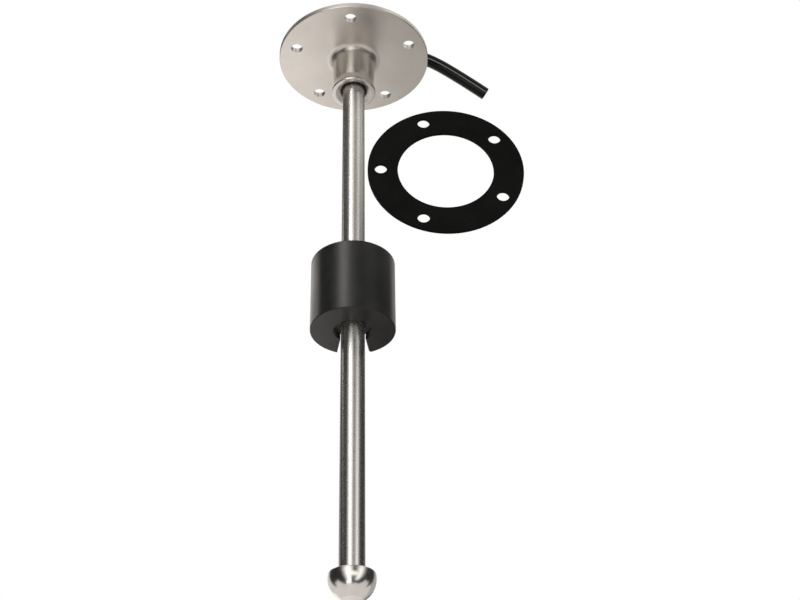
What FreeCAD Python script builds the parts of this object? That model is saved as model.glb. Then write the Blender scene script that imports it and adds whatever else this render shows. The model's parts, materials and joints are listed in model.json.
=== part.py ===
import FreeCAD, Part
import math
import os

# Tank level sender: a flange with a hub and a stem, a float that slides on the stem, and a cable head on top.
# Millimetres. The origin is the centre of the flange's seat face, with the stem along -Z.
# The wide gap between the flange's holes, and the cable, point along +X.

V = FreeCAD.Vector
UP = V(0, 0, 1)
ALONG_X = V(1, 0, 0)

# Flange
flange_diameter = 68.0
flange_thickness = 2.5
flange_edge_round = 0.4
bolt_circle_diameter = 54.0
bolt_hole_diameter = 5.2
bolt_count = 5
bolt_pitch_angle = 70.0

# Hub under the flange, cast with it
hub_root_diameter = 19.0
hub_waist_diameter = 17.7
hub_waist_depth = 15.2
hub_end_diameter = 19.9
hub_length = 20.2
hub_root_fillet = 2.6
hub_end_round = 0.7
hub_mouth_diameter = 16.2
hub_mouth_floor_diameter = 11.4
hub_mouth_depth = 1.6

# Collar on the flange's top, cast with it, which holds the resin and the cover
collar_diameter = 18.1
collar_wall = 2.2
collar_height = 5.0
seal_section = 1.1
seal_groove_height = 1.5
seal_height = 2.6

# Stem tube
stem_diameter = 9.7
stem_wall = 0.8
stem_reach = 254.0
stem_seat_depth = 4.0
stem_flare = 1.2
end_plug_length = 5.0

# Knob on the stem's lower end: a ball cut flat above its middle
knob_diameter = 17.9
knob_shoulder = 1.8
knob_foot_diameter = 8.0
knob_edge_round = 0.4

# Float
float_diameter = 34.6
float_height = 32.9
float_rest_depth = 148.8
float_bore_diameter = 15.8
float_top_round = 0.3
float_bottom_round = 0.4
slot_inner_width = 10.8
slot_outer_width = 13.6
slot_corner_round = 1.0
rest_turn = -17.2

# Float's sleeve and magnets
sleeve_wall = 0.9
sleeve_rim_thickness = 1.5
sleeve_recess = 2.4
magnet_height = 6.0
magnet_count = 2

# Circuit strip in the stem
foot_height = 4.0
shrink_wall = 0.25
board_thickness = 1.0
board_offset = 1.0
board_top_depth = 8.0
reed_diameter = 1.9
reed_length = 10.0
reed_lead_diameter = 0.5
reed_lead_length = 2.5
reed_pitch = 19.0
reed_margin = 10.0
reed_side_offset = 1.0
resistor_width = 0.8
resistor_length = 1.6
resistor_height = 0.5
resistor_side_offset = 1.6

# Cores of the cable inside the head, and their joints to the strip
core_diameter = 1.4
core_spread = 1.3
core_bend = 3.4
joint_length = 1.6
resin_plug_depth = 3.0

# Cable, its grommet and the crimped ring that takes the pull
cable_diameter = 5.8
cable_route = [(6.8, 12.2), (24.5, 12.2), (37.0, 11.4), (52.0, 4.5), (64.5, -2.66)]
grommet_plug_diameter = 8.0
grommet_flange_diameter = 9.4
grommet_flange_thickness = 1.4
grommet_tip_diameter = 7.2
grommet_nose_length = 2.8
grommet_groove_depth = 0.5
grommet_groove_width = 0.6
stop_ring_wall = 0.9
stop_ring_length = 1.6

# Moulded cover of the cable head
cover_wall = 1.8
cover_height = 15.5
cover_draft = 0.5
cover_top_round = 3.0
cover_rim_round = 0.5
cover_boss_diameter = 9.8
cover_boss_reach = 14.8
cover_boss_fillet = 0.8
cover_boss_end_round = 0.4

# Gasket, lying apart beside the stem
gasket_diameter = 65.0
gasket_opening_diameter = 40.0
gasket_thickness = 1.5
gasket_side_offset = 38.56
gasket_front_offset = 21.27
gasket_depth = 82.85
gasket_roll = -71.25

# Clearances
press_clearance = 0.02
seat_clearance = 0.05
slip_clearance = 0.15
run_clearance = 0.35

# Places that follow from the sizes above
stem_radius = stem_diameter / 2
stem_bore_radius = stem_radius - stem_wall
stem_seat_radius = stem_radius + press_clearance
stem_foot_z = -stem_reach - stem_seat_depth
collar_top = flange_thickness + collar_height
float_foot_z = -float_rest_depth
plug_top_z = stem_foot_z + end_plug_length
board_foot_z = plug_top_z + foot_height
board_top_z = -board_top_depth
shrink_radius = stem_bore_radius - slip_clearance
shrink_bore_radius = shrink_radius - shrink_wall
board_face_y = -board_offset + board_thickness / 2
board_edge_reach = math.sqrt(shrink_bore_radius ** 2 - (board_offset + board_thickness / 2) ** 2)
board_width = 2 * (board_edge_reach - slip_clearance)
core_y = board_face_y + core_diameter / 2 + press_clearance
cable_start, exit_height = cable_route[0]
cable_radius = cable_diameter / 2
grommet_bore_radius = cable_radius + slip_clearance
cover_bore_radius = collar_diameter / 2 + slip_clearance
cover_radius = cover_bore_radius + cover_wall
cover_inside_radius = collar_diameter / 2 - cover_draft


class Outline:
    """An outline in radius and height, drawn point by point and turned about the stem's axis."""

    def __init__(self, radius, height):
        self.start = V(radius, 0, height)
        self.here = self.start
        self.edges = []

    def line(self, radius, height):
        there = V(radius, 0, height)
        self.edges.append(Part.LineSegment(self.here, there).toShape())
        self.here = there
        return self

    def arc(self, middle, end):
        there = V(end[0], 0, end[1])
        self.edges.append(Part.Arc(self.here, V(middle[0], 0, middle[1]), there).toShape())
        self.here = there
        return self

    def round(self, centre, end):
        """Quarter round about a centre, from here to the end point."""
        middle_of_arms = V((self.here.x + end[0]) / 2 - centre[0], 0, (self.here.z + end[1]) / 2 - centre[1])
        radius = math.hypot(end[0] - centre[0], end[1] - centre[1])
        bulge = middle_of_arms.normalize() * radius
        return self.arc((centre[0] + bulge.x, centre[1] + bulge.z), end)

    def turned(self):
        if self.here.distanceToPoint(self.start) > 1e-6:
            self.line(self.start.x, self.start.z)
        return Part.Face(Part.Wire(self.edges)).revolve(V(), UP, 360)


def ring(inner_radius, outer_radius, low, high):
    """A plain ring or, with no inner radius, a disc about the stem's axis."""
    body = Part.makeCylinder(outer_radius, high - low, V(0, 0, low), UP)
    if inner_radius == 0:
        return body
    return body.cut(Part.makeCylinder(inner_radius, high - low, V(0, 0, low), UP))


def laid_along_cable(solid):
    """Turns a piece made about +Z onto the line of the cable's exit, along +X."""
    solid.rotate(V(), V(0, 1, 0), 90)
    solid.translate(V(0, 0, exit_height))
    return solid


def bolt_angles():
    """Hole angles about the middle of the wide gap, which is on +X."""
    wide_gap = 360.0 - bolt_pitch_angle * (bolt_count - 1)
    return [wide_gap / 2 + bolt_pitch_angle * i for i in range(bolt_count)]


def bolt_holes(low, high):
    """Cutters for the bolt holes, shared by the flange and its gasket."""
    cutters = []
    for angle in bolt_angles():
        turn = math.radians(angle)
        spot = V(math.cos(turn), math.sin(turn), 0) * (bolt_circle_diameter / 2)
        cutters.append(Part.makeCylinder(bolt_hole_diameter / 2, high - low, spot + V(0, 0, low), UP))
    return Part.makeCompound(cutters)


def mounting_flange():
    """Flange, hub and collar as one casting, drawn from the hub's mouth by the rim and collar to the bore."""
    rim = flange_diameter / 2
    edge = flange_edge_round
    top = flange_thickness
    end = hub_end_diameter / 2
    waist = hub_waist_diameter / 2
    root = hub_root_diameter / 2
    fillet = hub_root_fillet
    lip = hub_end_round - hub_length
    mouth_floor = hub_mouth_depth - hub_length
    collar = collar_diameter / 2
    cup = collar - collar_wall
    groove = collar - seal_section + slip_clearance
    groove_low = top + seal_height - seal_groove_height / 2
    outline = Outline(stem_seat_radius, mouth_floor)
    outline.line(hub_mouth_floor_diameter / 2, mouth_floor)
    outline.line(hub_mouth_diameter / 2, -hub_length)
    outline.line(end - hub_end_round, -hub_length)
    outline.round((end - hub_end_round, lip), (end, lip))
    outline.arc((waist + (end - waist) / 4, (lip - hub_waist_depth) / 2), (waist, -hub_waist_depth))
    outline.arc((root - (root - waist) / 4, -(hub_waist_depth + fillet) / 2), (root, -fillet))
    outline.round((root + fillet, -fillet), (root + fillet, 0))
    outline.line(rim - edge, 0)
    outline.round((rim - edge, edge), (rim, edge))
    outline.line(rim, top - edge)
    outline.round((rim - edge, top - edge), (rim - edge, top))
    outline.line(collar, top)
    outline.line(collar, groove_low)
    outline.line(groove, groove_low)
    outline.line(groove, groove_low + seal_groove_height)
    outline.line(collar, groove_low + seal_groove_height)
    outline.line(collar, collar_top)
    outline.line(cup, collar_top)
    outline.line(cup, top)
    outline.line(stem_seat_radius + stem_flare, top)
    outline.line(stem_seat_radius, top - stem_flare)
    return outline.turned().cut(bolt_holes(-1.0, top + 1.0))


def stem_tube():
    """Tube with its top flared into the flange and its foot in the knob's socket."""
    flare_top = flange_thickness
    outline = Outline(stem_bore_radius, stem_foot_z)
    outline.line(stem_radius, stem_foot_z)
    outline.line(stem_radius, flare_top - stem_flare)
    outline.line(stem_radius + stem_flare, flare_top)
    outline.line(stem_bore_radius + stem_flare, flare_top)
    outline.line(stem_bore_radius, flare_top - stem_flare)
    return outline.turned()


def end_knob():
    """Ball with a flat top, a small flat foot and a blind socket for the tube."""
    ball = knob_diameter / 2
    middle = -stem_reach - knob_shoulder
    brim = math.sqrt(ball ** 2 - knob_shoulder ** 2)
    foot = knob_foot_diameter / 2
    foot_z = middle - math.sqrt(ball ** 2 - foot ** 2)
    outline = Outline(0, stem_foot_z)
    outline.line(stem_seat_radius, stem_foot_z)
    outline.line(stem_seat_radius, -stem_reach)
    outline.line(brim, -stem_reach)
    outline.arc((ball, middle), (foot, foot_z))
    outline.line(0, foot_z)
    knob = outline.turned()
    sharp = [e for e in knob.Edges if e.BoundBox.ZLength < 1e-6 and abs(e.BoundBox.XMax - brim) < 1e-6]
    return knob.makeFillet(knob_edge_round, sharp)


def end_plug():
    return ring(0, stem_bore_radius - press_clearance, stem_foot_z, plug_top_z)


def outer_edges(foam, height):
    """Edges round the outside of one end of the float."""
    level = [e for e in foam.Edges if abs(e.BoundBox.ZMin - height) + e.BoundBox.ZLength < 1e-6]
    edges = []
    for edge in level:
        middle = edge.valueAt((edge.FirstParameter + edge.LastParameter) / 2)
        if math.hypot(middle.x, middle.y) > float_diameter / 2 - slot_corner_round:
            edges.append(edge)
    return edges


def float_body():
    """C-shaped foam float: a cylinder with a bore, a flared slot down one side and rounded outer edges."""
    outside = float_diameter / 2
    bore = float_bore_diameter / 2
    low = float_foot_z
    high = low + float_height
    foam = ring(bore, outside, low, high)
    flare = (slot_outer_width - slot_inner_width) / (outside - bore)
    corners = []
    for side, reach in ((-1, 0), (-1, 2 * outside), (1, 2 * outside), (1, 0)):
        width = slot_inner_width + flare * (reach - bore)
        corners.append(V(side * width / 2, reach, low - 1.0))
    slot = Part.Face(Part.makePolygon(corners + corners[:1])).extrude(V(0, 0, float_height + 2.0))
    foam = foam.cut(slot)
    upright = [e for e in foam.Edges if e.BoundBox.ZLength > float_height / 2 and e.BoundBox.Center.x > 0]
    outer_corner = [e for e in upright if e.BoundBox.Center.y > bore + slot_corner_round]
    foam = foam.makeFillet(slot_corner_round, outer_corner)
    foam = foam.makeFillet(float_bottom_round, outer_edges(foam, low))
    foam = foam.makeFillet(float_top_round, outer_edges(foam, high))
    foam.rotate(V(), UP, rest_turn)
    return foam


def sleeve_radii():
    """Bore, barrel and rim of the float's sleeve, from the stem out to the float's bore."""
    bore = stem_radius + run_clearance
    return bore, bore + sleeve_wall, float_bore_diameter / 2 - run_clearance


def sleeve_heights():
    low = float_foot_z + sleeve_recess
    return low, low + sleeve_rim_thickness, float_foot_z + float_height - sleeve_recess


def float_sleeve():
    """Guide bush of the float, with a rim at its foot that carries the magnets."""
    bore, barrel, rim = sleeve_radii()
    low, seat, high = sleeve_heights()
    outline = Outline(bore, low)
    outline.line(rim, low).line(rim, seat)
    outline.line(barrel, seat).line(barrel, high).line(bore, high)
    return outline.turned()


def float_magnets():
    """Ring magnets stacked on the sleeve's rim."""
    _, barrel, rim = sleeve_radii()
    seat = sleeve_heights()[1]
    rings = []
    for i in range(magnet_count):
        low = seat + i * magnet_height
        rings.append(ring(barrel + seat_clearance, rim - seat_clearance, low, low + magnet_height))
    return Part.makeCompound(rings)


def magnet_retainer():
    """Collar pressed on the sleeve above the magnets."""
    _, barrel, rim = sleeve_radii()
    _, seat, high = sleeve_heights()
    return ring(barrel + press_clearance, rim, seat + magnet_count * magnet_height, high)


def board_foot():
    return ring(0, shrink_radius, plug_top_z, board_foot_z)


def board_sleeve():
    return ring(shrink_bore_radius, shrink_radius, board_foot_z, board_top_z + joint_length)


def reed_board():
    corner = V(-board_width / 2, -board_offset - board_thickness / 2, board_foot_z)
    return Part.makeBox(board_width, board_thickness, board_top_z - board_foot_z, corner)


def reed_heights():
    """Middles of the reed switches, from the strip's foot up to the joints."""
    room = board_top_z - board_foot_z - 2 * reed_margin
    count = int(room // reed_pitch) + 1
    return [board_foot_z + reed_margin + i * reed_pitch for i in range(count)]


def reed_switches():
    """Glass switches with their leads, in a row on the strip's face."""
    y = board_face_y + reed_diameter / 2 + press_clearance
    reeds = []
    for z in reed_heights():
        glass_foot = V(-reed_side_offset, y, z - reed_length / 2)
        lead_foot = glass_foot - V(0, 0, reed_lead_length)
        glass = Part.makeCylinder(reed_diameter / 2, reed_length, glass_foot, UP)
        leads = Part.makeCylinder(reed_lead_diameter / 2, reed_length + 2 * reed_lead_length, lead_foot, UP)
        reeds.append(glass.fuse(leads).removeSplitter())
    return Part.makeCompound(reeds)


def ladder_resistors():
    """One chip resistor beside the middle of each switch."""
    chips = []
    for z in reed_heights():
        corner = V(resistor_side_offset - resistor_width / 2, board_face_y, z - resistor_length / 2)
        chips.append(Part.makeBox(resistor_width, resistor_height, resistor_length, corner))
    return Part.makeCompound(chips)


def core(side):
    """Insulated core from its joint on the strip, up the stem and round into the cable's end."""
    x = side * core_spread
    height = exit_height - side * core_spread
    foot = V(x, core_y, board_top_z)
    bend_low = V(x, core_y, height - core_bend)
    bend_middle = V(x + core_bend * (1 - math.sqrt(0.5)), core_y, height - core_bend * (1 - math.sqrt(0.5)))
    bend_high = V(x + core_bend, core_y, height)
    tip = V(cable_start, core_y, height)
    path = Part.Wire([
        Part.LineSegment(foot, bend_low).toShape(),
        Part.Arc(bend_low, bend_middle, bend_high).toShape(),
        Part.LineSegment(bend_high, tip).toShape(),
    ])
    section = Part.Wire([Part.makeCircle(core_diameter / 2, foot, UP)])
    return path.makePipeShell([section], True, False)


def solder_joints():
    """Solder at the foot of each core, on the strip's face."""
    joints = []
    for side in (-1, 1):
        foot = V(side * core_spread, core_y, board_top_z - joint_length)
        joints.append(Part.makeCylinder(core_diameter / 2, joint_length, foot, UP))
    return Part.makeCompound(joints)


def potting_plug():
    """Resin in the collar and in the top of the tube, with the cores through it."""
    cup = collar_diameter / 2 - collar_wall - press_clearance
    throat = stem_bore_radius - press_clearance
    low = flange_thickness - stem_flare - resin_plug_depth
    resin = ring(0, cup, flange_thickness + press_clearance, collar_top - slip_clearance)
    resin = resin.fuse(ring(0, throat, low, flange_thickness + press_clearance)).removeSplitter()
    for side in (-1, 1):
        foot = V(side * core_spread, core_y, low)
        resin = resin.cut(Part.makeCylinder(core_diameter / 2 + press_clearance, collar_top - low, foot, UP))
    return resin


def cover_seal():
    """O-ring in the collar's groove, against the cover's bore."""
    section = (seal_section - slip_clearance) / 2
    middle = cover_bore_radius - press_clearance - section
    return Part.makeTorus(middle, section, V(0, 0, flange_thickness + seal_height), UP)


def boss_root_edges(block):
    """Curved edges where the boss runs into the cover's wall and rounded top."""
    edges = []
    for edge in block.Edges:
        middle = edge.valueAt((edge.FirstParameter + edge.LastParameter) / 2)
        from_boss_axis = math.hypot(middle.y, middle.z - exit_height)
        on_boss = abs(from_boss_axis - cover_boss_diameter / 2) < 1e-3
        straight = isinstance(edge.Curve, Part.Line)
        if on_boss and not straight and not edge.Closed and middle.x > 0:
            edges.append(edge)
    return edges


def head_cover():
    """Moulded cover with drafted sides, a rounded top and a boss for the cable on +X."""
    low = flange_thickness
    high = low + cover_height
    shoulder = cover_radius - cover_draft
    top_round = cover_top_round
    rim_round = cover_rim_round
    outside = Outline(0, low)
    outside.line(cover_radius - rim_round, low)
    outside.round((cover_radius - rim_round, low + rim_round), (cover_radius, low + rim_round))
    outside.line(shoulder, high - top_round)
    outside.round((shoulder - top_round, high - top_round), (shoulder - top_round, high))
    outside.line(0, high)
    boss = laid_along_cable(Part.makeCylinder(cover_boss_diameter / 2, cover_boss_reach))
    hollow = ring(0, cover_bore_radius, low - 1.0, collar_top)
    hollow = hollow.fuse(ring(0, cover_inside_radius, collar_top, high - cover_wall))
    bore = laid_along_cable(Part.makeCylinder(grommet_plug_diameter / 2, cover_boss_reach + 1.0))
    block = outside.turned().fuse(boss).removeSplitter()
    block = block.makeFillet(cover_boss_fillet, boss_root_edges(block))
    mouth = [e for e in block.Edges if e.Closed and abs(e.BoundBox.XMin - cover_boss_reach) < 1e-6]
    block = block.makeFillet(cover_boss_end_round, mouth)
    return block.cut(hollow).cut(bore)


def cable_grommet():
    """Rubber grommet: a plug from inside the cover's wall, a flange on its boss and a grooved nose."""
    bore = grommet_bore_radius
    plug = grommet_plug_diameter / 2 - seat_clearance
    flange = grommet_flange_diameter / 2
    neck = grommet_plug_diameter / 2
    tip = grommet_tip_diameter / 2
    flange_end = cover_boss_reach + grommet_flange_thickness
    groove_end = flange_end + grommet_groove_width
    end = flange_end + grommet_nose_length
    outline = Outline(bore, cover_inside_radius)
    outline.line(plug, cover_inside_radius)
    outline.line(plug, cover_boss_reach)
    outline.line(flange, cover_boss_reach)
    outline.line(flange, flange_end)
    outline.line(neck - grommet_groove_depth, flange_end)
    outline.line(neck - grommet_groove_depth, groove_end)
    outline.line(neck, groove_end)
    outline.line(tip, end)
    outline.line(bore, end)
    return laid_along_cable(outline.turned())


def cable_stop_ring():
    """Ring crimped on the cable just inside the grommet."""
    high = cover_inside_radius - seat_clearance
    return laid_along_cable(ring(cable_radius + press_clearance, cable_radius + stop_ring_wall,
                                 high - stop_ring_length, high))


def cable():
    """Lead on straight runs joined by the largest tangent arcs that the runs allow."""
    points = [V(x, 0, z) for x, z in cable_route]
    edges = []
    here = points[0]
    for before, corner, after in zip(points, points[1:], points[2:]):
        back = before - corner
        ahead = after - corner
        reach = 0.45 * min(back.Length, ahead.Length)
        half_turn = (math.pi - back.getAngle(ahead)) / 2
        radius = reach / math.tan(half_turn)
        print(f"cable bend radius {radius:.1f} mm")
        enter = corner + back.normalize() * reach
        leave = corner + ahead.normalize() * reach
        inward = (back + ahead).normalize()
        middle = corner + inward * (radius / math.cos(half_turn) - radius)
        edges.append(Part.LineSegment(here, enter).toShape())
        edges.append(Part.Arc(enter, middle, leave).toShape())
        here = leave
    edges.append(Part.LineSegment(here, points[-1]).toShape())
    path = Part.Wire(edges)
    section = Part.Wire([Part.makeCircle(cable_radius, points[0], ALONG_X)])
    lead = path.makePipeShell([section], True, False)
    fullness = lead.Volume / (math.pi * cable_radius ** 2 * path.Length)
    print(f"cable length {path.Length:.2f} mm, {fullness:.5f} of a round bar's volume")
    return lead


def flange_gasket():
    """Flat ring with the flange's holes, upright beside the stem with its wide gap rolled downwards."""
    half = gasket_thickness / 2
    gasket = ring(gasket_opening_diameter / 2, gasket_diameter / 2, -half, half)
    gasket = gasket.cut(bolt_holes(-half - 1.0, half + 1.0))
    gasket.rotate(V(), UP, gasket_roll)
    gasket.rotate(V(), ALONG_X, 90)
    gasket.translate(V(gasket_side_offset, -gasket_front_offset, -gasket_depth))
    gasket.rotate(V(), UP, rest_turn)
    return gasket


PIECES = {
    "mounting_flange": mounting_flange(),
    "stem_tube": stem_tube(),
    "end_knob": end_knob(),
    "end_plug": end_plug(),
    "float_body": float_body(),
    "float_sleeve": float_sleeve(),
    "float_magnets": float_magnets(),
    "magnet_retainer": magnet_retainer(),
    "board_foot": board_foot(),
    "board_sleeve": board_sleeve(),
    "reed_board": reed_board(),
    "reed_switches": reed_switches(),
    "ladder_resistors": ladder_resistors(),
    "signal_core": core(-1),
    "return_core": core(1),
    "solder_joints": solder_joints(),
    "potting_plug": potting_plug(),
    "cover_seal": cover_seal(),
    "head_cover": head_cover(),
    "cable_grommet": cable_grommet(),
    "cable_stop_ring": cable_stop_ring(),
    "cable": cable(),
    "flange_gasket": flange_gasket(),
}

os.makedirs("parts", exist_ok=True)
for name, shape in PIECES.items():
    print(f"{name}: {len(shape.Solids)} solids, {shape.Volume:.1f} mm3, valid {shape.isValid()}")
    shape.exportStep(f"parts/{name}.step")
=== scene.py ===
import json
import math

import bpy
from mathutils import Matrix, Vector


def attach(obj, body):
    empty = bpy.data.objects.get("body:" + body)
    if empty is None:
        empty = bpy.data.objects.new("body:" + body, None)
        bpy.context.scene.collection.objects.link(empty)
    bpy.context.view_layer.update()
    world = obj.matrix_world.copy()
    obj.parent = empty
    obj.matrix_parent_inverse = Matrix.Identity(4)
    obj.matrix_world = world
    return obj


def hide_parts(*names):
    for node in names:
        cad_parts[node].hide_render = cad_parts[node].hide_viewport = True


# Looks of a tank level sender: its finishes, its cable, a small studio and the camera, in metres
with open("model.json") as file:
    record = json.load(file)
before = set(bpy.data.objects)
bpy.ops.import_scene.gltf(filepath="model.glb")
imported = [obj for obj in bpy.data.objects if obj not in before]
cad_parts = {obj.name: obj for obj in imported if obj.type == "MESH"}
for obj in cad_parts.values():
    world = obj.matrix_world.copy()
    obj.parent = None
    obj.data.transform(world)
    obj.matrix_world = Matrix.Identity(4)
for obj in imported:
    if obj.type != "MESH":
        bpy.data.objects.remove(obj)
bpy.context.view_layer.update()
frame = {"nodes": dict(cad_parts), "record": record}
nodes = frame["nodes"]

# Camera: where it stands, how it is turned, its lens and its sensor
CAMERA_PLACE = Vector((-0.14157, -0.47200, -0.47493))
CAMERA_PAN = math.radians(18.925)
CAMERA_TILT = math.radians(34.703)
CAMERA_ROLL = math.radians(-1.057)
CAMERA_LENS_MM = 66.18
CAMERA_SENSOR_MM = 36

# Cable: the route of its centre line from inside the head to its cut end, and how finely it is drawn
CABLE_ROUTE = [
    (0.0068, 0, 0.0122),
    (0.0245, 0, 0.0122),
    (0.0370, 0, 0.0114),
    (0.0520, 0, 0.0045),
    (0.0645, 0, -0.00266),
]
CABLE_DIAMETER = 0.0058
CABLE_CURVE_ORDER = 3
CABLE_STEPS_ALONG = 24
CABLE_STEPS_AROUND = 10

# Flange: heights over which the hub's crisper finish ends, and radii over which its painted shade round the
# stem ends
HUB_ROUGHNESS = 0.24
PLATE_ROUGHNESS = 0.34
HUB_TOP = dict(start=-0.004, end=-0.001)
PAINTED_SHADE_EDGE = dict(start=0.0057, end=0.0064)
PAINTED_SHADE_COLOUR = (0.02, 0.018, 0.016, 1)

# Finishes: the usual range of a noise, how coarse it is, and how far a roughness strays from its middle
NOISE_LOW = 0.3
NOISE_HIGH = 0.7
NOISE_ROUGHNESS = 0.55
ROUGHNESS_STRAY = 0.06
BLACK = (0, 0, 0, 1)
WHITE = (1, 1, 1, 1)

# Mix node: the sockets of its colours, because its sockets for other kinds of data have the same names
MIX_FIRST = 6
MIX_SECOND = 7
MIX_RESULT = 2

# Studio: a tilted table behind the part, turned to the camera, with lamps over it and dark walls round it
STUDIO_TURN = math.radians(-17.2)
STUDIO_TILT = math.radians(58.7)
UPRIGHT = Matrix.Rotation(math.pi / 2, 4, "X")
LAMP_HEIGHT = 1.0
FILL_LIGHT = 0.40
WHITE_LIGHT = 1.0

# Energy of an area lamp in Blender, for each square metre and each unit of its face's brightness
AREA_LAMP_ENERGY = 4

# Lamps that light the part, with their drop below the lamps' height
SOFTBOXES = {
    "left_softbox": dict(across=-0.62, drop=0.0, width=1.25, depth=2.4, brightness=0.9),
    "key_softbox": dict(across=-0.40, drop=0.02, width=0.70, depth=1.0, brightness=1.6),
    "right_softbox": dict(across=0.84, drop=0.0, width=0.83, depth=2.4, brightness=0.8),
}

# Ceiling: brightness by the place across it and by height, the sine of the angle at which the part sees it
CEILING_SIZE = 4.4
CEILING_LAMPS = {
    "left": dict(
        span=dict(start=-1.22, middle=-0.30, end=0.34),
        peak=dict(low=1.45, high=0.42, start=0.32, end=0.56),
    ),
    "right": dict(
        span=dict(start=0.33, middle=0.92, end=1.90),
        peak=dict(low=1.30, high=0.85, start=0.32, end=0.56),
    ),
    "key": dict(
        span=dict(start=-0.65, middle=-0.36, end=-0.08),
        peak=dict(low=0.4, high=0.0, start=0.36, end=0.46),
    ),
}
CEILING_BY_HEIGHT = dict(low=0.15, high=0.46, start=0.45, end=0.56)
CEILING_ACROSS = dict(low=0.12, high=1.0, start=-1.3, end=-0.2)
CEILING_FADE = dict(low=1.0, high=0.1, start=0.72, end=0.82)
FAR_END_SPAN = dict(start=-0.9, middle=0.0, end=0.9)
FAR_END_HEIGHTS = dict(start=0.67, middle=0.71, end=0.84)
FAR_END_BRIGHTNESS = 1.0

# Cards below the ceiling, and one straight above the part, which the flange's top mirrors
CEILING_CARDS = {
    "lamp_bridge": dict(across=0.20, away=-0.815, drop=0.02, width=0.70, depth=0.47, tone=1.4),
    "lamp_slot": dict(across=0.22, away=-0.27, drop=0.03, width=0.24, depth=0.50, tone=0.02),
    "camera_shade": dict(across=0.14, away=-1.65, drop=0.02, width=0.40, depth=1.20, tone=0.05),
}
OVERHEAD_PLACE = (0, 0.28, 1.2)
OVERHEAD_WIDTH = 2.0
OVERHEAD_DEPTH = 1.44
OVERHEAD_TONE = 0.6

# Small cards close to the stem: the level that mirrors each, its rise and its angle to the right in degrees
NEAR_REACH = 0.30
FLOAT_VIEW = dict(level=-0.132, rise=35)
NEAR_CARDS = {
    "float_lamp": dict(FLOAT_VIEW, angle=-25, width=0.09, height=0.06, tone=6.5),
    "float_flag": dict(FLOAT_VIEW, angle=74, width=0.36, height=0.08, tone=0.01),
    "float_left_rim": dict(FLOAT_VIEW, angle=-130, width=0.26, height=0.055, tone=1.6),
    "float_right_rim": dict(FLOAT_VIEW, angle=140, width=0.12, height=0.055, tone=0.9),
    "stem_reflector": dict(level=-0.055, rise=41, angle=108, width=0.30, height=0.12, tone=1.0),
}

# Strip lamp for the cable: the way to it from the cable's straight end, its reach, size and tone
CABLE_STRIP_WAY = (-0.11, -0.99, -0.07)
CABLE_STRIP_REACH = 0.20
CABLE_STRIP_LENGTH = 0.10
CABLE_STRIP_WIDTH = 0.08
CABLE_STRIP_TONE = 12.0

# Dark walls all round the table, the first to the camera's side and the others to its right in turn
WALL_TONES = [0.015, 0.015, 0.03, 0.04, 0.04, 0.04, 0.02, 0.015]
WALL_REACH = 2.2
WALL_FOOT = -1.8
WALL_TOP = 1.7

# Pale boards before three of the walls, by the wall's number, and the lamps above the middle board
PALE_TONES = (0.80, 0.76)
BOARD_REACH = 2.15
BOARD_HEIGHTS = {7: 0.50, 0: 0.75, 1: 0.50}
MIDDLE_BOARD = 0
STAND_LAMPS = {
    "left_stand_lamp": dict(across=-0.52, width=0.78, tone=2.2),
    "right_stand_lamp": dict(across=1.30, width=0.50, tone=1.0),
}

# Half the width over which a card's left tone changes to its right one
TONE_CHANGE = 0.03

# Table, with the cards on it and before it: near and far edges, tones at the left and right, and lift
TABLE_HEIGHT = -0.26
TABLE_WIDTH = 0.7
TABLE_NEAR = -0.40
TABLE_FAR = 0.40
TABLE_CARDS = {
    # The table is darker to the right: painted shadow of the part on the table, which shows only in
    # reflections
    "table": dict(near=TABLE_NEAR, far=TABLE_FAR, width=TABLE_WIDTH, tones=(1.25, 0.50)),
    "table_left": dict(near=TABLE_NEAR, far=TABLE_FAR, width=0.26, tones=(0.8, 0.8),
                       across=-0.24, lift=0.003),
    "table_shadow": dict(near=-0.165, far=-0.085, width=0.08, tones=(0.1, 0.1), across=0.03, lift=0.003),
    "table_step": dict(near=TABLE_NEAR, far=-0.22, width=TABLE_WIDTH, tones=PALE_TONES, lift=0.005),
    "table_front": dict(near=-BOARD_REACH, far=TABLE_NEAR, width=4.2, tones=PALE_TONES, lift=0.005),
}

# Floor, far below the part, with the glow that lifts it towards white for the camera
FLOOR_HEIGHT = -2.1
FLOOR_SIZE = 80.0
FLOOR_GLOW = 0.40


def node(tree, kind, inputs=None, **settings):
    """Adds a node with these settings. An input, by name or number, takes a value or a node's output."""
    made = tree.nodes.new(kind)
    for name, value in settings.items():
        setattr(made, name, value)
    for name, value in (inputs or {}).items():
        if isinstance(value, bpy.types.NodeSocket):
            tree.links.new(value, made.inputs[name])
        else:
            made.inputs[name].default_value = value
    return made


def scaled_place(tree, scale=(1, 1, 1)):
    """Coordinates on the piece itself, stretched along each axis by a scale."""
    place = node(tree, "ShaderNodeTexCoord").outputs["Object"]
    return node(tree, "ShaderNodeMapping", {"Vector": place, "Scale": scale}).outputs["Vector"]


def split(tree, place):
    """The X, Y and Z of a place."""
    return node(tree, "ShaderNodeSeparateXYZ", {"Vector": place}).outputs


def vector_math(tree, operation, *vectors):
    """Outputs of one operation on these vectors."""
    return node(tree, "ShaderNodeVectorMath", dict(enumerate(vectors)), operation=operation).outputs


def combined(tree, operation, first, *others):
    """Result of one operation over these values in turn."""
    for other in others:
        first = node(tree, "ShaderNodeMath", {0: first, 1: other}, operation=operation).outputs["Value"]
    return first


def noise(tree, place, scale, detail=3.0):
    """Cloudy noise, as a factor."""
    inputs = {"Vector": place, "Scale": scale, "Detail": detail, "Roughness": NOISE_ROUGHNESS}
    return node(tree, "ShaderNodeTexNoise", inputs).outputs["Fac"]


def spread(tree, factor, low, high, start=NOISE_LOW, end=NOISE_HIGH, shape="LINEAR"):
    """Maps a factor onto low at its start and high at its end, with no change past them."""
    inputs = {"Value": factor, "From Min": start, "From Max": end, "To Min": low, "To Max": high}
    return node(tree, "ShaderNodeMapRange", inputs, interpolation_type=shape).outputs["Result"]


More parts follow.
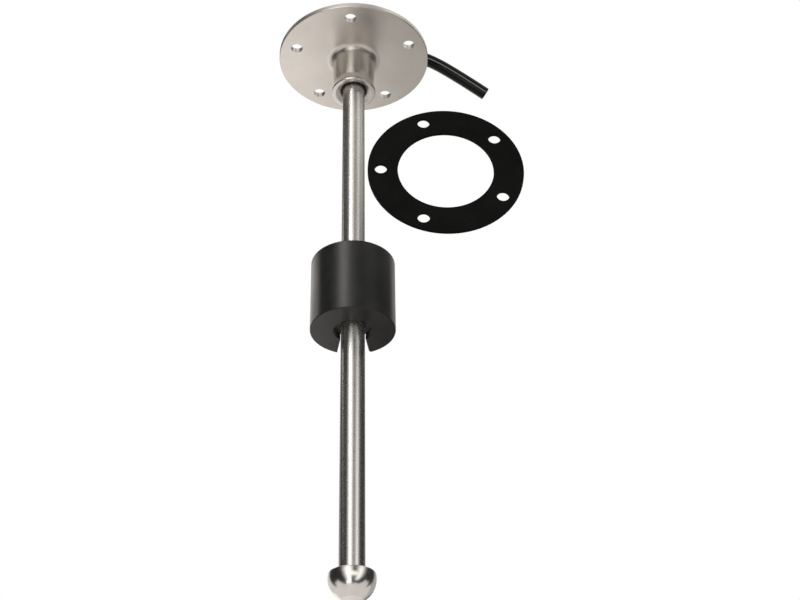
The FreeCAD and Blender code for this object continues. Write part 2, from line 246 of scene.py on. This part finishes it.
def lobe(tree, across, start, middle, end, peak):
    """Brightness of a soft lamp that grows from its start to its middle and fades out to its end."""
    grow = spread(tree, across, 0.0, peak, start, middle, "SMOOTHSTEP")
    return spread(tree, across, grow, 0.0, middle, end, "SMOOTHSTEP")


def mixed(tree, factor, first, second):
    """A colour between two others, by a factor."""
    inputs = {"Factor": factor, MIX_FIRST: first, MIX_SECOND: second}
    return node(tree, "ShaderNodeMix", inputs, data_type="RGBA").outputs[MIX_RESULT]


def tint(tree, factor, dark, light):
    """A colour between a dark and a light one, by a factor."""
    return mixed(tree, factor, (*dark, 1), (*light, 1))


def mottled(tree, clouds, dark, light):
    """A colour that changes from a dark to a light one over the usual range of a noise."""
    return tint(tree, spread(tree, clouds, 0, 1), dark, light)


def raised(tree, height, strength, distance):
    """Normal of a surface with this relief."""
    inputs = {"Height": height, "Strength": strength, "Distance": distance}
    return node(tree, "ShaderNodeBump", inputs).outputs["Normal"]


def material(name, make):
    """A material whose shader inputs come from make(tree), as a dictionary."""
    made = bpy.data.materials.new(name)
    made.use_nodes = True
    tree = made.node_tree
    tree.nodes.clear()
    shader = node(tree, "ShaderNodeBsdfPrincipled", make(tree))
    node(tree, "ShaderNodeOutputMaterial", {"Surface": shader.outputs["BSDF"]})
    return made


def satin_steel(tree):
    """Satin grain with slow changes of tone, crisper on the turned hub, and painted shade on the bore round
    the stem.
    """
    place = scaled_place(tree)
    grain = noise(tree, place, scale=5200)
    clouds = noise(tree, place, scale=45)
    steel = mottled(tree, clouds, dark=(0.60, 0.565, 0.53), light=(0.68, 0.645, 0.61))
    height = split(tree, place)["Z"]
    turned = spread(tree, height, HUB_ROUGHNESS, PLATE_ROUGHNESS, **HUB_TOP)
    # Painted shade: close to the axis the hub is darkened, standing in for the shade of a gap round the
    # stem
    from_axis = vector_math(tree, "LENGTH", scaled_place(tree, scale=(1, 1, 0)))["Value"]
    painted_shade = spread(tree, from_axis, low=1, high=0, **PAINTED_SHADE_EDGE)
    return {
        "Base Color": mixed(tree, painted_shade, steel, PAINTED_SHADE_COLOUR),
        "Metallic": 1.0,
        "Roughness": combined(tree, "ADD", spread(tree, grain, low=-0.04, high=0.04), turned),
        "Normal": raised(tree, grain, strength=0.10, distance=0.00005),
    }


def polished_steel(tree):
    """Bright ground tube: fine lines run round it, so that its reflections are drawn out along it."""
    around = node(tree, "ShaderNodeTangent", direction_type="RADIAL", axis="Z").outputs["Tangent"]
    ground = noise(tree, scaled_place(tree, scale=(0.02, 0.02, 1)), scale=9000, detail=2.0)
    smears = noise(tree, scaled_place(tree, scale=(1, 1, 0.25)), scale=160)
    return {
        "Base Color": mottled(tree, smears, dark=(0.74, 0.72, 0.69), light=(0.80, 0.785, 0.76)),
        "Metallic": 1.0,
        # Painted shade: a near-black edge tint darkens the tube's reflections towards its outline, as dark
        # rims in every view
        "Specular Tint": (0.05, 0.045, 0.04, 1),
        "Roughness": spread(tree, ground, low=0.26, high=0.29),
        "Anisotropic": 0.98,
        "Anisotropic Rotation": 0.25,
        "Tangent": around,
    }


def bright_ball(tree):
    """Buffed finish of the knob, with faint turning marks."""
    marks = noise(tree, scaled_place(tree, scale=(0.1, 0.1, 1)), scale=4200)
    smears = noise(tree, scaled_place(tree), scale=180)
    return {
        "Base Color": mottled(tree, smears, dark=(0.72, 0.695, 0.665), light=(0.79, 0.77, 0.74)),
        "Metallic": 1.0,
        "Roughness": spread(tree, smears, low=0.19, high=0.23),
        "Normal": raised(tree, marks, strength=0.05, distance=0.00002),
    }


def foam(tree):
    """Closed-cell foam: a matte charcoal skin with fine pores."""
    place = scaled_place(tree)
    clouds = noise(tree, place, scale=120)
    cells = node(tree, "ShaderNodeTexVoronoi", {"Vector": place, "Scale": 2600.0}).outputs["Distance"]
    return {
        "Base Color": mottled(tree, clouds, dark=(0.0075, 0.0075, 0.0070), light=(0.0105, 0.0105, 0.0098)),
        "Roughness": spread(tree, clouds, low=0.29, high=0.35),
        "Specular IOR Level": 0.42,
        "Sheen Weight": 0.06,
        "Sheen Roughness": 0.4,
        "Normal": raised(tree, cells, strength=0.16, distance=0.00006),
    }


def sheet_rubber(tree):
    """Near-black sheet with a fine pressed texture."""
    place = scaled_place(tree)
    weave = noise(tree, place, scale=2400, detail=4.0)
    clouds = noise(tree, place, scale=90)
    return {
        "Base Color": mottled(tree, clouds, dark=(0.0030, 0.0030, 0.0026), light=(0.0050, 0.0050, 0.0044)),
        "Roughness": spread(tree, weave, low=0.55, high=0.72),
        "Specular IOR Level": 0.05,
        "Normal": raised(tree, weave, strength=0.25, distance=0.00006),
    }


def cable_jacket(tree):
    """Smooth black jacket with slight drawing lines."""
    lines = noise(tree, scaled_place(tree, scale=(0.05, 1, 1)), scale=2600)
    return {
        "Base Color": tint(tree, lines, dark=(0.0030, 0.0030, 0.0029), light=(0.0050, 0.0050, 0.0048)),
        "Roughness": spread(tree, lines, low=0.09, high=0.12),
        "Specular IOR Level": 0.15,
        "Normal": raised(tree, lines, strength=0.02, distance=0.00002),
    }


def moulded_plastic(dark, light, rough):
    """Maker of a moulded plastic with an even spark-eroded texture."""
    def make(tree):
        place = scaled_place(tree)
        grain = noise(tree, place, scale=3000)
        clouds = noise(tree, place, scale=150)
        return {
            "Base Color": mottled(tree, clouds, dark, light),
            "Roughness": spread(tree, grain, rough - ROUGHNESS_STRAY, rough + ROUGHNESS_STRAY),
            "Specular IOR Level": 0.45,
            "Normal": raised(tree, grain, strength=0.18, distance=0.00006),
        }
    return make


def bare_metal(dark, light, rough):
    """Maker of a plain worked metal, such as brass or solder."""
    def make(tree):
        grain = noise(tree, scaled_place(tree), scale=2600, detail=4.0)
        return {
            "Base Color": tint(tree, grain, dark, light),
            "Metallic": 1.0,
            "Roughness": spread(tree, grain, rough - ROUGHNESS_STRAY, rough + ROUGHNESS_STRAY),
            "Normal": raised(tree, grain, strength=0.12, distance=0.00004),
        }
    return make


def reed_glass(tree):
    """Green-tinted glass of the reed switches."""
    streaks = noise(tree, scaled_place(tree, scale=(1, 1, 0.2)), scale=1800, detail=2.0)
    return {
        "Base Color": tint(tree, streaks, dark=(0.62, 0.82, 0.68), light=(0.80, 0.94, 0.84)),
        "Roughness": spread(tree, streaks, low=0.03, high=0.09),
        "IOR": 1.5,
        "Transmission Weight": 0.7,
    }


# Finishes by material slot, and by node where one has a finish of its own
FINISHES = {
    "satin_steel": satin_steel,
    "polished_steel": polished_steel,
    "float_foam": foam,
    "gasket_rubber": sheet_rubber,
    "cable_rubber": cable_jacket,
    "bush_plastic": moulded_plastic(dark=(0.012, 0.012, 0.012), light=(0.020, 0.020, 0.020), rough=0.45),
    "cover_plastic": moulded_plastic(dark=(0.014, 0.014, 0.014), light=(0.022, 0.022, 0.023), rough=0.42),
    "board_insulation": moulded_plastic(dark=(0.02, 0.02, 0.02), light=(0.035, 0.035, 0.035), rough=0.40),
    "circuit_board": moulded_plastic(dark=(0.012, 0.10, 0.035), light=(0.020, 0.15, 0.055), rough=0.38),
    "chip_body": moulded_plastic(dark=(0.018, 0.018, 0.020), light=(0.030, 0.030, 0.034), rough=0.48),
    "red_core": moulded_plastic(dark=(0.36, 0.012, 0.010), light=(0.46, 0.020, 0.016), rough=0.35),
    "black_core": moulded_plastic(dark=(0.010, 0.010, 0.010), light=(0.018, 0.018, 0.018), rough=0.35),
    "potting_resin": moulded_plastic(dark=(0.010, 0.010, 0.011), light=(0.016, 0.016, 0.018), rough=0.15),
    "magnet_ferrite": moulded_plastic(dark=(0.030, 0.030, 0.032), light=(0.050, 0.050, 0.054), rough=0.55),
    "solder": bare_metal(dark=(0.58, 0.58, 0.60), light=(0.72, 0.72, 0.74), rough=0.28),
    "ring_brass": bare_metal(dark=(0.60, 0.42, 0.17), light=(0.72, 0.54, 0.25), rough=0.30),
    "reed_glass": reed_glass,
}
OWN_FINISHES = {"end_knob": bright_ball}


def finish_frame():
    """Gives every CAD node a finish of its own, or else that of its material slot."""
    made = {slot: material(slot, make) for slot, make in FINISHES.items()}
    for part in frame["record"]["subparts"]:
        name = part["node"]
        own = OWN_FINISHES.get(name)
        mesh = nodes[name].data
        mesh.materials.clear()
        mesh.materials.append(material(name, own) if own else made[part["material_slot"]])
    return made


def cable_curve(finish):
    """The cable as a smooth round line through its route."""
    curve = bpy.data.curves.new("lead", "CURVE")
    curve.dimensions = "3D"
    curve.bevel_depth = CABLE_DIAMETER / 2
    curve.bevel_resolution = CABLE_STEPS_AROUND
    curve.resolution_u = CABLE_STEPS_ALONG
    curve.use_fill_caps = True
    line = curve.splines.new("NURBS")
    line.points.add(len(CABLE_ROUTE) - 1)
    for point, place in zip(line.points, CABLE_ROUTE):
        point.co = (*place, 1)
    line.order_u = CABLE_CURVE_ORDER
    line.use_endpoint_u = True
    curve.materials.append(finish)
    made = bpy.data.objects.new("lead", curve)
    bpy.context.scene.collection.objects.link(made)
    return made


def studio(across, away, up):
    """Matrix of a place in the studio: across to the camera's right, away from it, and up to the lamps."""
    turn = Matrix.Rotation(STUDIO_TURN, 4, "Z") @ Matrix.Rotation(STUDIO_TILT, 4, "X")
    return turn @ Matrix.Translation((across, away, up))


def softbox(name, across, drop, width, depth, brightness):
    """Lamp that lights the part from above the table, and doesn't show itself."""
    lamp = bpy.data.lights.new(name, "AREA")
    lamp.shape = "RECTANGLE"
    lamp.size = width
    lamp.size_y = depth
    lamp.energy = AREA_LAMP_ENERGY * width * depth * brightness
    made = bpy.data.objects.new(name, lamp)
    made.matrix_world = studio(across, 0, LAMP_HEIGHT - drop)
    made.visible_camera = False
    made.visible_glossy = False
    bpy.context.scene.collection.objects.link(made)


def panel(name, matrix, width, height, finish):
    """Flat rectangle of the studio."""
    mesh = bpy.data.meshes.new(name)
    half_width, half_height = width / 2, height / 2
    corners = [(-half_width, -half_height, 0), (half_width, -half_height, 0),
               (half_width, half_height, 0), (-half_width, half_height, 0)]
    mesh.from_pydata(corners, [], [(0, 1, 2, 3)])
    mesh.materials.append(finish)
    made = bpy.data.objects.new(name, mesh)
    made.matrix_world = matrix
    bpy.context.scene.collection.objects.link(made)
    return made


def card(name, matrix, width, height, make):
    """Card that shows only in reflections and through glass."""
    made = panel(name, matrix, width, height, material(name, make))
    made.visible_camera = False
    made.visible_diffuse = False
    made.visible_shadow = False
    return made


def glowing(tree, place, strength, dark, light):
    """Shader inputs of a surface that only glows, in slow clouds between two colours."""
    clouds = noise(tree, place, scale=5.0, detail=2.0)
    return {
        "Base Color": BLACK,
        "Roughness": 1.0,
        "Specular IOR Level": 0.0,
        "Emission Color": tint(tree, clouds, dark, light),
        "Emission Strength": strength,
    }


def card_tones(left, right):
    """Maker of a card's surface, with its brightness to the left and to the right of its middle."""
    def make(tree):
        place = scaled_place(tree)
        strength = spread(tree, split(tree, place)["X"], left, right, -TONE_CHANGE, TONE_CHANGE)
        return glowing(tree, place, strength, dark=(0.95, 0.91, 0.87), light=(1.0, 0.97, 0.93))
    return make


def card_tone(tone):
    """Maker of a card's surface with one brightness."""
    return card_tones(tone, tone)


def height_of_view(tree, place):
    """Sine of the angle above the level at which the part sees a place on the ceiling."""
    sight = vector_math(tree, "ADD", place, (0, 0, LAMP_HEIGHT))["Vector"]
    way = vector_math(tree, "NORMALIZE", sight)["Vector"]
    up = (0, math.sin(STUDIO_TILT), math.cos(STUDIO_TILT))
    return vector_math(tree, "DOT_PRODUCT", way, up)["Value"]


def ceiling_glow(tree):
    """Soft lamps on a dimmer ceiling, brighter where they are seen low, and a pale far end."""
    place = scaled_place(tree)
    across = split(tree, place)["X"]
    height = height_of_view(tree, place)
    lamps = []
    for lamp in CEILING_LAMPS.values():
        lamps.append(lobe(tree, across, **lamp["span"], peak=spread(tree, height, **lamp["peak"])))
    base = combined(tree, "MULTIPLY", spread(tree, height, **CEILING_BY_HEIGHT),
                    spread(tree, across, **CEILING_ACROSS), spread(tree, height, **CEILING_FADE))
    far_peak = lobe(tree, height, **FAR_END_HEIGHTS, peak=FAR_END_BRIGHTNESS)
    far_end = lobe(tree, across, **FAR_END_SPAN, peak=far_peak)
    strength = combined(tree, "ADD", *lamps, base, far_end)
    return glowing(tree, place, strength, dark=(0.97, 0.95, 0.91), light=(1.0, 0.99, 0.96))


def ceiling_card(name, across, away, drop, width, depth, tone):
    """Level card that hangs a little below the ceiling."""
    card(name, studio(across, away, LAMP_HEIGHT - drop), width, depth, card_tone(tone))


def table_card(name, near, far, width, tones, across=0, lift=0):
    """Level card at the table's height or a little above it."""
    matrix = studio(across, (near + far) / 2, TABLE_HEIGHT + lift)
    card(name, matrix, width, far - near, card_tones(*tones))


def near_card(name, level, rise, angle, width, height, tone):
    """Small card close to the stem, facing it."""
    middle = Matrix.Translation((0, 0, level)) @ Matrix.Rotation(STUDIO_TURN + math.radians(angle), 4, "Z")
    matrix = middle @ Matrix.Rotation(-math.radians(rise), 4, "X") @ Matrix.Translation((0, -NEAR_REACH, 0))
    card(name, matrix @ UPRIGHT, width, height, card_tone(tone))


def cable_strip(cable):
    """Strip lamp along the cable's straight end, which lights it alone and draws a line down its jacket."""
    start, end = (Vector(place) for place in CABLE_ROUTE[-2:])
    along = (end - start).normalized()
    side = Vector(CABLE_STRIP_WAY).cross(along).normalized()
    out = along.cross(side)
    matrix = Matrix((along, side, out)).transposed().to_4x4()
    matrix.translation = (start + end) / 2 + CABLE_STRIP_REACH * out
    strip = card("cable_strip", matrix, CABLE_STRIP_LENGTH, CABLE_STRIP_WIDTH, card_tone(CABLE_STRIP_TONE))
    lit = bpy.data.collections.new("cable_strip_lights")
    lit.objects.link(cable)
    strip.light_linking.receiver_collection = lit


def wall_place(i, reach, middle):
    """Matrix of an upright place before wall i, at this reach and height."""
    turn = studio(0, 0, 0) @ Matrix.Rotation(2 * math.pi * i / len(WALL_TONES), 4, "Z")
    return turn @ Matrix.Translation((0, -reach, middle)) @ UPRIGHT


def wall_width(reach):
    """Width at which upright cards at this reach meet at their edges, all round."""
    return 2 * reach * math.tan(math.pi / len(WALL_TONES))


def build_walls():
    """Dark walls all round the table."""
    height = WALL_TOP - WALL_FOOT
    for i, tone in enumerate(WALL_TONES):
        matrix = wall_place(i, WALL_REACH, WALL_FOOT + height / 2)
        card(f"wall_{i}", matrix, wall_width(WALL_REACH), height, card_tone(tone))


def build_front():
    """Pale boards that stand round the front of the table, with lamps above the middle one."""
    for i, height in BOARD_HEIGHTS.items():
        matrix = wall_place(i, BOARD_REACH, TABLE_HEIGHT + height / 2)
        card(f"board_{i}", matrix, wall_width(BOARD_REACH), height, card_tones(*PALE_TONES))
    foot = TABLE_HEIGHT + BOARD_HEIGHTS[MIDDLE_BOARD]
    for name, lamp in STAND_LAMPS.items():
        middle = studio(lamp["across"], -BOARD_REACH, (foot + LAMP_HEIGHT) / 2)
        card(name, middle @ UPRIGHT, lamp["width"], LAMP_HEIGHT - foot, card_tone(lamp["tone"]))


def shown_rays(tree):
    """1 for rays that show the background, also mirrored or through glass, and 0 for the other rays."""
    rays = node(tree, "ShaderNodeLightPath").outputs
    shown = [rays["Is Camera Ray"], rays["Is Glossy Ray"], rays["Is Transmission Ray"]]
    return combined(tree, "MAXIMUM", *shown)


def white_world():
    """White to the camera and in reflections, with a soft even fill on everything else."""
    world = bpy.data.worlds.new("studio")
    world.use_nodes = True
    world.cycles.sampling_method = "NONE"
    tree = world.node_tree
    tree.nodes.clear()
    strength = spread(tree, shown_rays(tree), FILL_LIGHT, WHITE_LIGHT, start=0.0, end=1.0)
    white = node(tree, "ShaderNodeBackground", {"Color": WHITE, "Strength": strength})
    node(tree, "ShaderNodeOutputWorld", {"Surface": white.outputs["Background"]})
    bpy.context.scene.world = world


def pale_floor(tree):
    """Pale matte floor with slow changes of tone, lifted towards white for the camera alone."""
    clouds = noise(tree, scaled_place(tree), scale=3.0)
    seen = node(tree, "ShaderNodeLightPath").outputs["Is Camera Ray"]
    return {
        "Base Color": tint(tree, clouds, dark=(0.80, 0.79, 0.78), light=(0.86, 0.85, 0.84)),
        "Roughness": 0.8,
        "Emission Color": WHITE,
        "Emission Strength": spread(tree, seen, 0.0, FLOOR_GLOW, start=0.0, end=1.0),
    }


def build_studio(cable):
    """The light, the cards that the metal mirrors, and the floor."""
    white_world()
    for name, lamp in SOFTBOXES.items():
        softbox(name, **lamp)
    card("ceiling", studio(0, 0, LAMP_HEIGHT), CEILING_SIZE, CEILING_SIZE, ceiling_glow)
    for name, values in CEILING_CARDS.items():
        ceiling_card(name, **values)
    overhead = Matrix.Translation(OVERHEAD_PLACE)
    card("overhead_panel", overhead, OVERHEAD_WIDTH, OVERHEAD_DEPTH, card_tone(OVERHEAD_TONE))
    build_walls()
    for name, values in NEAR_CARDS.items():
        near_card(name, **values)
    cable_strip(cable)
    for name, values in TABLE_CARDS.items():
        table_card(name, **values)
    build_front()
    floor = material("pale_floor", pale_floor)
    panel("floor", Matrix.Translation((0, 0, FLOOR_HEIGHT)), FLOOR_SIZE, FLOOR_SIZE, floor)


def build_camera():
    """Camera at the photograph's viewing angle."""
    level = math.cos(CAMERA_TILT)
    ahead = Vector((math.sin(CAMERA_PAN) * level, math.cos(CAMERA_PAN) * level, math.sin(CAMERA_TILT)))
    right = Vector((math.cos(CAMERA_PAN), -math.sin(CAMERA_PAN), 0))
    up = right.cross(ahead)
    rolled_right = math.cos(CAMERA_ROLL) * right + math.sin(CAMERA_ROLL) * up
    rolled_up = math.cos(CAMERA_ROLL) * up - math.sin(CAMERA_ROLL) * right
    lens = bpy.data.cameras.new("camera")
    lens.lens = CAMERA_LENS_MM
    lens.sensor_width = CAMERA_SENSOR_MM
    camera = bpy.data.objects.new("camera", lens)
    turn = Matrix((rolled_right, rolled_up, -ahead)).transposed().to_4x4()
    turn.translation = CAMERA_PLACE
    camera.matrix_world = turn
    bpy.context.scene.collection.objects.link(camera)
    bpy.context.scene.camera = camera


finishes = finish_frame()
lead = cable_curve(finishes["cable_rubber"])
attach(lead, "sender")
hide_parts("cable")
# The loose gasket isn't mirrored in the metal, as in the photograph
nodes["flange_gasket"].visible_glossy = False
build_studio(lead)
build_camera()
bpy.context.scene.view_settings.view_transform = "Standard"
